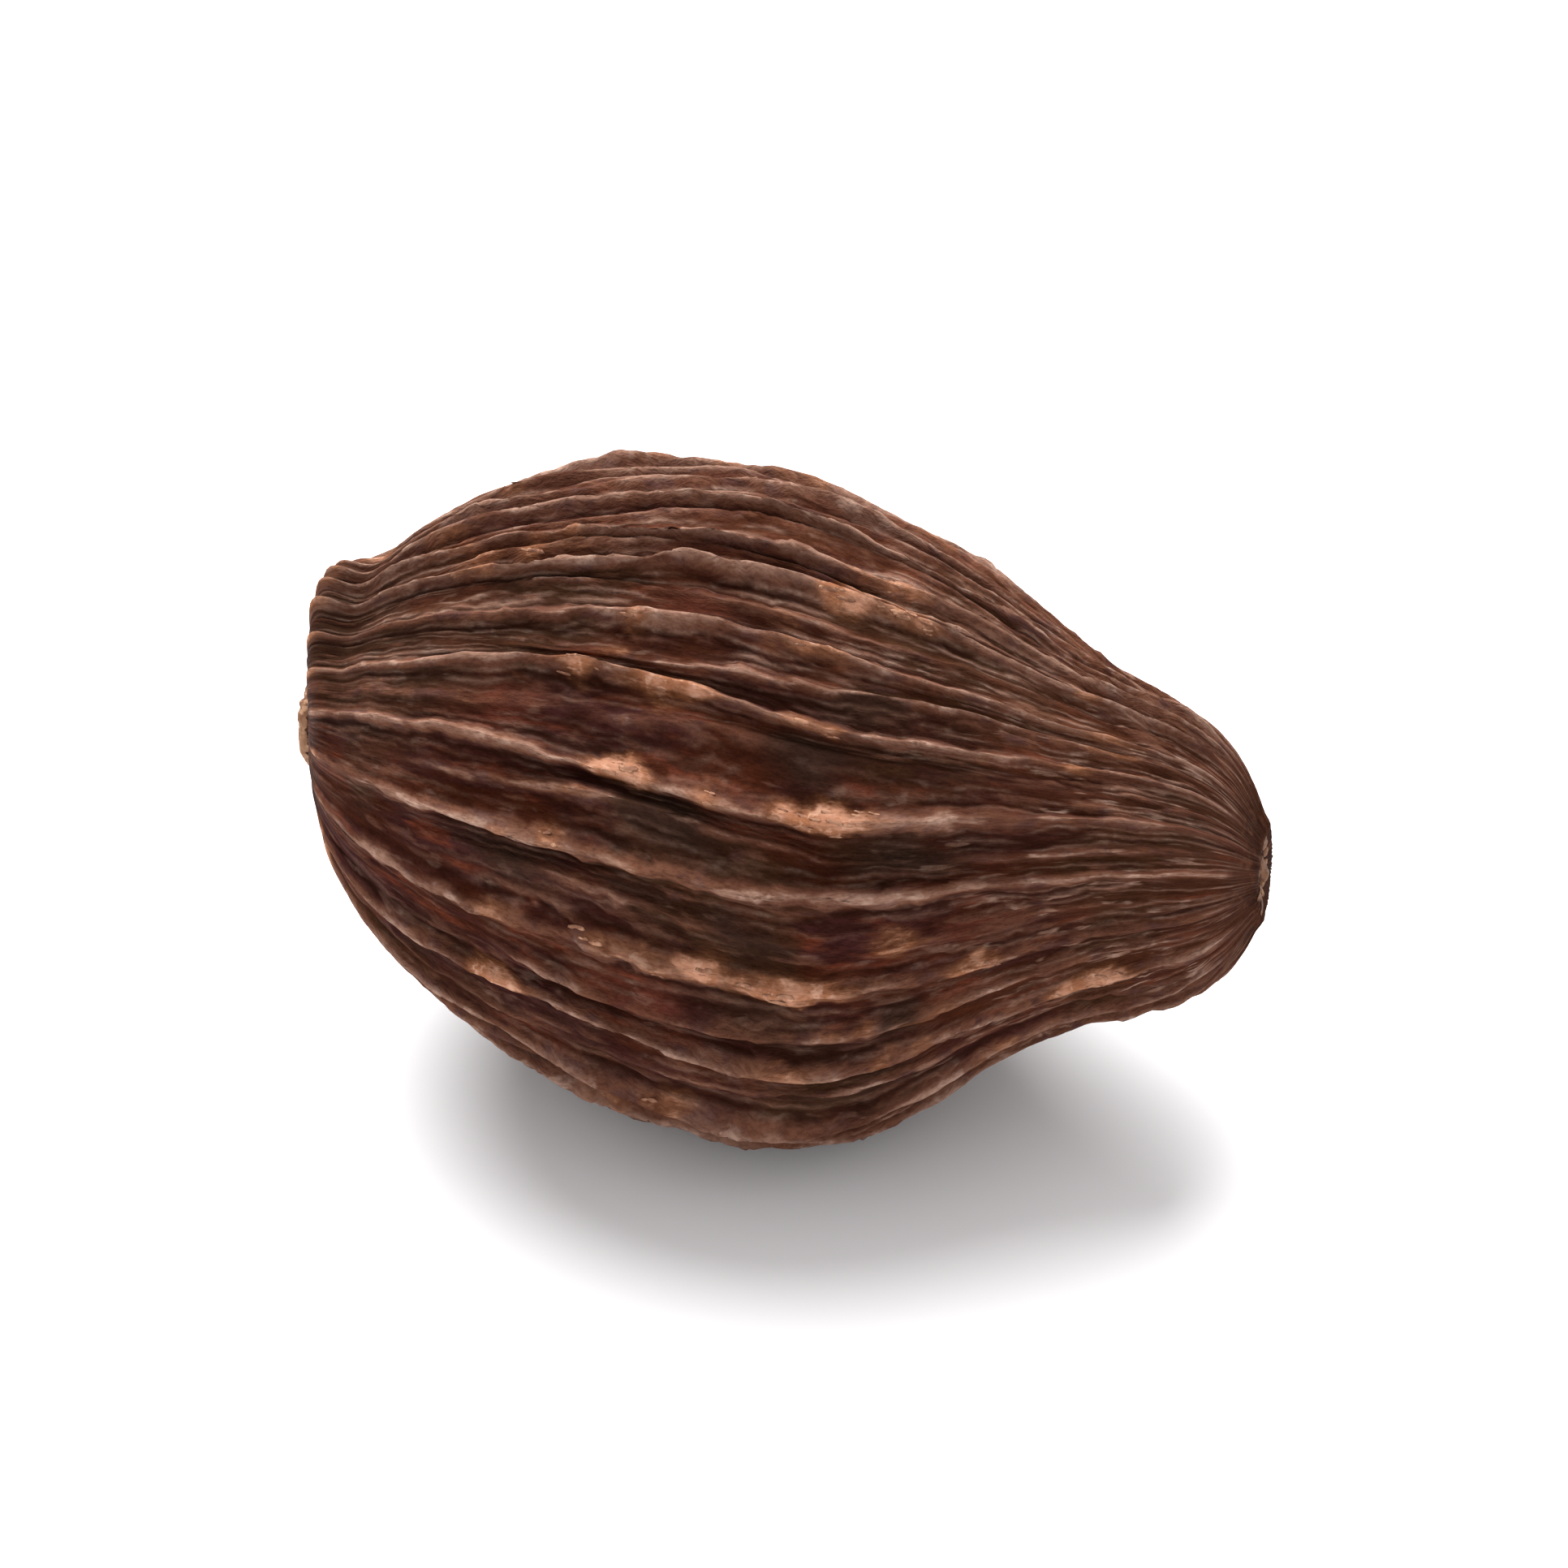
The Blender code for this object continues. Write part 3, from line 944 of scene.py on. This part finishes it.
def keep_piece(name, shape, material):
    """Turn a bmesh into a finished piece of the pod."""
    bmesh.ops.recalc_face_normals(shape, faces=shape.faces)
    mesh = bpy.data.meshes.new(name)
    shape.to_mesh(mesh)
    shape.free()
    mesh.shade_smooth()
    mesh.materials.append(material)
    piece = bpy.data.objects.new(name, mesh)
    bpy.context.scene.collection.objects.link(piece)
    return piece


def tie_to_pod(piece):
    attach(piece, "root")
    print(piece.name + ":", len(piece.data.polygons), "faces")


# %% Material: cork
def corky_scar_material():
    material, tree, shader = new_material("corky_scar")
    place = place_on_object(tree)
    pits = noise_field(place, 2400.0, 3.0, 0.6)
    # Darker where the cork is deeper and in its pits: partly the cork's own pitted grain and partly painted
    # shade in the pores, the sunken middle and under the rim.
    dark = (painted(tree, "depth") + 0.9 * (pits - 0.5)).smooth(0.10, 0.95)
    colour = toned(tree, place, 900.0, CORK_TONES)
    feed(shader.inputs["Base Color"], tinted(tree, 0.80 * dark, colour, CORK_PIT_SHADE))
    feed(shader.inputs["Roughness"], 0.70 + 0.2 * pits)
    shader.inputs["Specular IOR Level"].default_value = 0.12
    roughened(tree, shader, pits, 0.6, 0.10 * MM)
    return material


corky_scar = corky_scar_material()

# %% Build the scar
# Places and widths are shares of the scar's radius, from its middle.
SCAR_TURNS = 96
SCAR_RINGS = 22
TUCKED_RINGS = 3
TUCK = 0.45 * MM
SCAR_PROUD = 0.03 * MM
RIM_HEIGHT, RIM_PLACE, RIM_WIDTH = 0.12 * MM, 0.86, 0.10
PORE_DEPTH, PORE_PLACE, PORE_WIDTH = 0.14 * MM, 0.55, 0.12
PITH_REACH = 0.22
VESSELS = 9
ROUGH_HEIGHT = 0.10 * MM
FINE_HEIGHT = 0.06 * MM


def ease(low, high, value):
    share = min(max((value - low) / (high - low), 0.0), 1.0)
    return share * share * (3.0 - 2.0 * share)


def swell(value, place, width):
    return math.exp(-(((value - place) / width) ** 2))


def noise_round(turn, reach, layer):
    """Noise read on a circle, so that it meets itself after a full turn."""
    return noise.noise(Vector((reach * math.cos(turn), reach * math.sin(turn), layer)))


def husk_end_x(radius):
    """Where the bare husk is at a radius from its axis, at the stalk end."""
    inset = math.sqrt(1.0 - (radius / RADIUS) ** STALK_END_BLUNTNESS)
    boss = -SCAR_RISE * (1.0 - ease(0.95 * SCAR_RADIUS, 1.2 * SCAR_RADIUS, radius))
    dish = SCAR_DISH * (1.0 - ease(0.0, 0.9 * SCAR_RADIUS, radius))
    return LENGTH * (WIDEST * (1.0 - inset) - 0.5) + boss + dish


def scar_height(share, turn):
    """How far the cork stands out of the husk, and how deep a pore is there."""
    rough = noise_round(turn, 3.0 * share, 4.0)
    fine = noise_round(turn, 14.0 * share, 7.0)
    ragged = 1.0 + 0.9 * noise_round(turn, 5.0, 2.0)
    rim = RIM_HEIGHT * swell(share, RIM_PLACE, RIM_WIDTH) * ragged
    off_pore = abs(math.sin(VESSELS * turn / 2.0 + 1.2 * rough))
    pore = swell(share, PORE_PLACE, PORE_WIDTH) * (1.0 - ease(0.0, 0.55, off_pore))
    pith = 1.0 - ease(0.0, PITH_REACH, share)
    depth = max(pore, 0.7 * pith)
    return SCAR_PROUD + rim + ROUGH_HEIGHT * rough + FINE_HEIGHT * fine - PORE_DEPTH * depth, depth


def build_stalk_scar():
    """Rings from the middle to the rim. The last few turn in under it, so that the disc is closed."""
    shape = bmesh.new()
    layer = shape.verts.layers.float.new("depth")
    open_rings = SCAR_RINGS - TUCKED_RINGS
    rows = []
    for ring in range(1, SCAR_RINGS + 1):
        share = min(ring / open_rings, 1.0)
        tuck = max(ring - open_rings, 0) / TUCKED_RINGS
        row = []
        for step in range(SCAR_TURNS):
            turn = math.tau * step / SCAR_TURNS
            radius = share * (1.0 + 0.10 * noise_round(turn, 3.2, 9.0)) * SCAR_RADIUS
            height, depth = scar_height(share, turn)
            height -= tuck * (height + TUCK)
            y, z = radius * math.cos(turn), radius * math.sin(turn)
            vertex = shape.verts.new(LIE @ Vector((husk_end_x(radius) - SLANT * z - height, y, z)))
            # The depth also darkens the rings tucked under the rim, as painted shade.
            vertex[layer] = max(depth, 0.6 * tuck)
            row.append(vertex)
        rows.append(row)
    for inner, outer in zip(rows, rows[1:]):
        for step in range(SCAR_TURNS):
            after = (step + 1) % SCAR_TURNS
            shape.faces.new((inner[step], inner[after], outer[after], outer[step]))
    for row in (rows[0], rows[-1]):
        hub = shape.verts.new(sum((vertex.co for vertex in row), Vector()) / SCAR_TURNS)
        hub[layer] = row[0][layer]
        for step in range(SCAR_TURNS):
            shape.faces.new((hub, row[step], row[(step + 1) % SCAR_TURNS]))
    return keep_piece("stalk_scar", shape, corky_scar)


tie_to_pod(build_stalk_scar())

# %% [markdown]
# ## What is left of the flower
#
# At the beak's end the flower withered into a sunken eye. A few dry bracts stand round it, and a nub sits in
# the middle. The bracts repeat round a circle, so Geometry Nodes place them: one curled blade is made from a
# sphere squashed thin, and a seeded random size and tilt keep them from looking stamped.

# %% Material: dry bracts
def dry_scrap_material(name, tones, tone_scale, streak_scale, roughness, shine, bump):
    """A dry scrap of the pod: three tones, with streaks that make it rough."""
    material, tree, shader = new_material(name)
    place = place_on_object(tree)
    streaks = Field(placed_group(tree, fibre_grain, {"Vector": place, "Scale": streak_scale})["Hairs"])
    feed(shader.inputs["Base Color"], toned(tree, place, tone_scale, tones))
    feed(shader.inputs["Roughness"], roughness[0] + roughness[1] * streaks)
    shader.inputs["Specular IOR Level"].default_value = shine
    roughened(tree, shader, streaks, *bump)
    return material


dry_bract = dry_scrap_material(
    "dry_bract", BRACT_TONES, 1300.0, 1100.0, roughness=(0.60, 0.25), shine=0.15, bump=(0.5, 0.08 * MM)
)


# %% Build the bracts
def shaken(tree, geometry, scale, amount):
    """Move each vertex a little, by noise."""
    cloud = add_node(tree, "ShaderNodeTexNoise", {"Scale": scale, "Detail": 2.0})
    feed(cloud.inputs["Vector"], made(tree, "GeometryNodeInputPosition"))
    inputs = {0: cloud.outputs["Color"], 1: (-0.5, -0.5, -0.5)}
    centred = made(tree, "ShaderNodeVectorMath", inputs, operation="ADD")
    offset = made(tree, "ShaderNodeVectorMath", {0: centred, 3: amount}, operation="SCALE")
    return made(tree, "GeometryNodeSetPosition", {"Geometry": geometry, "Offset": offset})


def resized(tree, geometry, size, move=(0.0, 0.0, 0.0)):
    return made(tree, "GeometryNodeTransform", {"Geometry": geometry, "Translation": move, "Scale": size})


def curled(tree, geometry, along, towards, amount):
    """Bend a blade: the further out it is along one axis, the more it leans towards another."""
    place = made(tree, "GeometryNodeInputPosition")
    out = Field(add_node(tree, "ShaderNodeSeparateXYZ", {0: place}).outputs[along])
    lean = made(tree, "ShaderNodeCombineXYZ", {towards: out * out * amount})
    return made(tree, "GeometryNodeSetPosition", {"Geometry": geometry, "Offset": lean})


def random_between(tree, low, high, seed):
    inputs = {2: low, 3: high, 8: seed}
    return Field(add_node(tree, "FunctionNodeRandomValue", inputs, data_type="FLOAT").outputs[1])


def aligned(tree, inputs, **settings):
    """A rotation that points one axis along a vector."""
    return made(tree, "FunctionNodeAlignRotationToVector", inputs, **settings)


def tilted(tree, rotation, tilt):
    """The same rotation with a tilt of its own added."""
    return made(tree, "FunctionNodeRotateRotation", {0: rotation, 1: tilt}, rotation_space="LOCAL")


def ball(tree, segments, rings, radius=1.0):
    return made(tree, "GeometryNodeMeshUVSphere", {"Segments": segments, "Rings": rings, "Radius": radius})


def planted(tree, points, blade, rotation, scale):
    """One copy of a blade on each point."""
    even_scale = vector_of(scale, scale, scale)
    inputs = {"Points": points, "Instance": blade, "Rotation": rotation, "Scale": even_scale}
    return made(tree, "GeometryNodeInstanceOnPoints", inputs)


def bract_tree(material):
    tree, size = new_tree("bracts", {"Ring radius": 0.85 * MM, "Half a bract": 0.42 * MM, "Bracts": 15})
    inputs = {"Vertices": size["Bracts"], "Radius": size["Ring radius"]}
    ring = made(tree, "GeometryNodeMeshCircle", inputs)
    blade = resized(tree, ball(tree, 8, 8), (0.12, 0.55, 1.0), (0.0, 0.0, 0.75))
    blade = shaken(tree, curled(tree, blade, "Z", "X", 0.35), 2.2, 0.35)
    place = made(tree, "GeometryNodeInputPosition")
    outwards = aligned(tree, {"Vector": place}, axis="X", pivot_axis="Z")
    tilt = vector_of(random_between(tree, -0.35, 0.35, 3), random_between(tree, 0.75, 1.25, 5), 0.0)
    tall = size["Half a bract"] * random_between(tree, 0.7, 1.2, 8)
    bracts = planted(tree, ring, blade, tilted(tree, outwards, tilt), tall)
    nub = resized(tree, ball(tree, 24, 16, 0.62 * MM), (1.0, 0.85, 0.45))
    nub = shaken(tree, nub, 1600.0, 0.5 * MM)
    both = tree.nodes.new("GeometryNodeJoinGeometry")
    for part in (nub, bracts):
        tree.links.new(part, both.inputs[0])
    finish_tree(tree, both.outputs[0], material)
    return tree


EYE_FLOOR = 0.55 * MM
remnant = mesh_from_tree("flower_remnant", bract_tree(dry_bract))
face_outwards(remnant.data)
eye_floor = Matrix.Translation((LENGTH / 2.0 - EYE_FLOOR, 0.0, BEAK_LIFT))
remnant.data.transform(LIE @ LEANED @ eye_floor @ Matrix.Rotation(math.radians(90.0), 4, "Y"))
tie_to_pod(remnant)

# %% [markdown]
# ## Loose flakes of skin
#
# Where a crest is rubbed, small scales of dry skin lift along it. They are scattered by Geometry Nodes on the
# husk itself: the stored crest and rubbed values say where, each flake lies along the pod, and the seed is
# fixed. A flake is a thin closed scale, made like a bract from a squashed sphere, and of the same dry stuff.

# %% Material: skin flake
skin_flake = dry_scrap_material(
    "skin_flake", FLAKE_TONES, 1100.0, 1300.0, roughness=(0.55, 0.20), shine=0.12, bump=(0.4, 0.06 * MM)
)


# %% Scatter the flakes
def flake_tree(husk_piece, material):
    tree, size = new_tree("flakes", {"Per square metre": 3.6e6, "Half a flake": 0.26 * MM, "Seed": 7})
    skin = add_node(tree, "GeometryNodeObjectInfo", {"Object": husk_piece}).outputs["Geometry"]
    on_crest = stored(tree, "crest").smooth(0.45, 0.9)
    where_rubbed = stored(tree, "rubbed").smooth(0.35, 0.9)
    away_from_stalk = stored(tree, "station").smooth(0.03, 0.08)
    density = size["Per square metre"] * on_crest * where_rubbed * away_from_stalk
    scatter = add_node(tree, "GeometryNodeDistributePointsOnFaces", {0: skin, 4: density, 6: size["Seed"]})
    scale = shaken(tree, resized(tree, ball(tree, 7, 4), (1.0, 0.30, 0.05)), 1.7, 0.4)
    scale = curled(tree, scale, "X", "Z", 0.08)
    standing = aligned(tree, {"Vector": scatter.outputs["Normal"]}, axis="Z")
    along_pod = {"Rotation": standing, "Vector": (1.0, 0.0, -0.1)}
    lying = aligned(tree, along_pod, axis="X", pivot_axis="Z")
    tilt = vector_of(random_between(tree, -0.15, 0.15, 2), random_between(tree, -0.12, 0.04, 4), 0.0)
    long = size["Half a flake"] * random_between(tree, 0.5, 1.5, 6)
    flakes = planted(tree, scatter.outputs["Points"], scale, tilted(tree, lying, tilt), long)
    finish_tree(tree, flakes, material)
    return tree


flakes = mesh_from_tree("skin_flakes", flake_tree(husk, skin_flake))
face_outwards(flakes.data)
tie_to_pod(flakes)

# %% [markdown]
# ## Floor, light and camera

# %% Floor
FLOOR_REACH = 1.5
floor_mesh = bpy.data.meshes.new("floor")
corners = [(x * FLOOR_REACH, y * FLOOR_REACH, 0) for x, y in ((-1, -1), (1, -1), (1, 1), (-1, 1))]
floor_mesh.from_pydata(corners, [], [(0, 1, 2, 3)])
floor = bpy.data.objects.new("floor", floor_mesh)
bpy.context.scene.collection.objects.link(floor)
floor_finish, _, floor_shader = new_material("white_table")
floor_shader.inputs["Base Color"].default_value = (0.86, 0.86, 0.87, 1.0)
floor_shader.inputs["Roughness"].default_value = 0.9
floor_mesh.materials.append(floor_finish)

# %% Light
WINDOW_PLACE = Vector((-0.18, 0.34, 0.58))
WINDOW_AIM = Vector((0.0, 0.0, 0.01))
lamp = bpy.data.lights.new("window", "AREA")
lamp.shape = "DISK"
lamp.size = 0.75
lamp.energy = 12.0
window = bpy.data.objects.new("window", lamp)
bpy.context.scene.collection.objects.link(window)
window.location = WINDOW_PLACE
window.rotation_euler = (WINDOW_AIM - WINDOW_PLACE).to_track_quat("-Z", "Y").to_euler()
world = bpy.data.worlds.new("studio")
bpy.context.scene.world = world
world.use_nodes = True
background = world.node_tree.nodes["Background"]
background.inputs["Color"].default_value = (1.0, 0.98, 0.98, 1.0)
background.inputs["Strength"].default_value = 0.92
bpy.context.scene.view_settings.view_transform = "Standard"

# %% Camera
AZIMUTH = math.radians(12.0)
ELEVATION = math.radians(38.0)
DISTANCE = 0.24
lens = bpy.data.cameras.new("camera")
lens.sensor_width = 36.0
lens.lens = 148.0
lens.clip_start = 0.01
camera = bpy.data.objects.new("camera", lens)
bpy.context.scene.collection.objects.link(camera)
bpy.context.scene.camera = camera
aim = (Vector(pod_low) + Vector(pod_high)) / 2.0
flat = math.cos(ELEVATION)
back = Vector((math.sin(AZIMUTH) * flat, -math.cos(AZIMUTH) * flat, math.sin(ELEVATION)))
camera.location = aim + back * DISTANCE
camera.rotation_euler = (-back).to_track_quat("-Z", "Y").to_euler()
